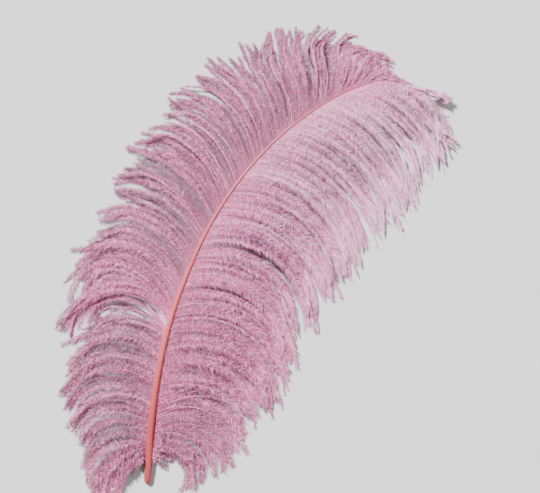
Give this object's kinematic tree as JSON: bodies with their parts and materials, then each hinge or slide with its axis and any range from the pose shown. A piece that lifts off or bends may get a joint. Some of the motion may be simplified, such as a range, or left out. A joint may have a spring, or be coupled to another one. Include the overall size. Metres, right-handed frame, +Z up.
{
  "type": "ostrich feather",
  "caption": "Dyed pink ostrich wing plume: a curved, tapering quill with two vanes of long, loose, drooping barbs, lying flat with its arched side up.",
  "frame": {"origin": "under the middle of the plume's box, on the surface that it lies on", "axes": "+Y from the foot of the quill to the tip, +X to the side that the tip bends to, +Z up, out of the arched side"},
  "size_m": [0.2476, 0.4822, 0.0272],
  "materials": {
    "barbs": "soft downy barbs dyed dusty pink, matt with a faint sheen",
    "quill": "smooth horn-like keratin dyed coral, satin, paler and pinker towards the tip"
  },
  "bodies": {
    "root": {"ostrich_feather": "barbs"}
  },
  "joints": []
}
